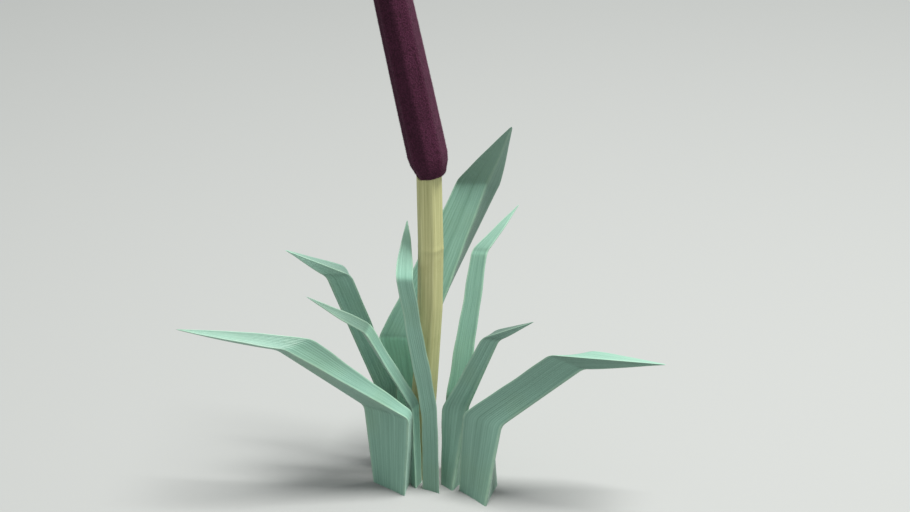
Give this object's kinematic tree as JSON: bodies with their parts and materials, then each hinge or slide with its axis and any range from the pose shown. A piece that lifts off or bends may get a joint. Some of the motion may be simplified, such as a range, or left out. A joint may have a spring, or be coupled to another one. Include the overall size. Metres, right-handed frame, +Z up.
{
  "type": "cattail plant with flower spike and leaves",
  "caption": "Cattail cut off at the ground: a straw-coloured stem with a dark maroon seed spike, and grey-green folded leaves that rise round its foot and bend outwards.",
  "frame": {"origin": "centre of the stem's cut foot, on the surface that the plant stands on", "axes": "+Z up along the plant, +X towards the long low leaf on the right, -Y towards the viewer"},
  "size_m": [0.3873, 0.1097, 0.4952],
  "materials": {
    "stem": "matt, fibrous",
    "spike": "velvety, matt",
    "leaf": "waxy satin, fine parallel veins"
  },
  "bodies": {
    "root": {"stem": "stem", "spike": "spike", "leaf_left_low": "leaf", "leaf_left_middle": "leaf", "leaf_left_high": "leaf", "leaf_front": "leaf", "leaf_back": "leaf", "leaf_right_high": "leaf", "leaf_right_middle": "leaf", "leaf_right_low": "leaf"}
  },
  "joints": []
}
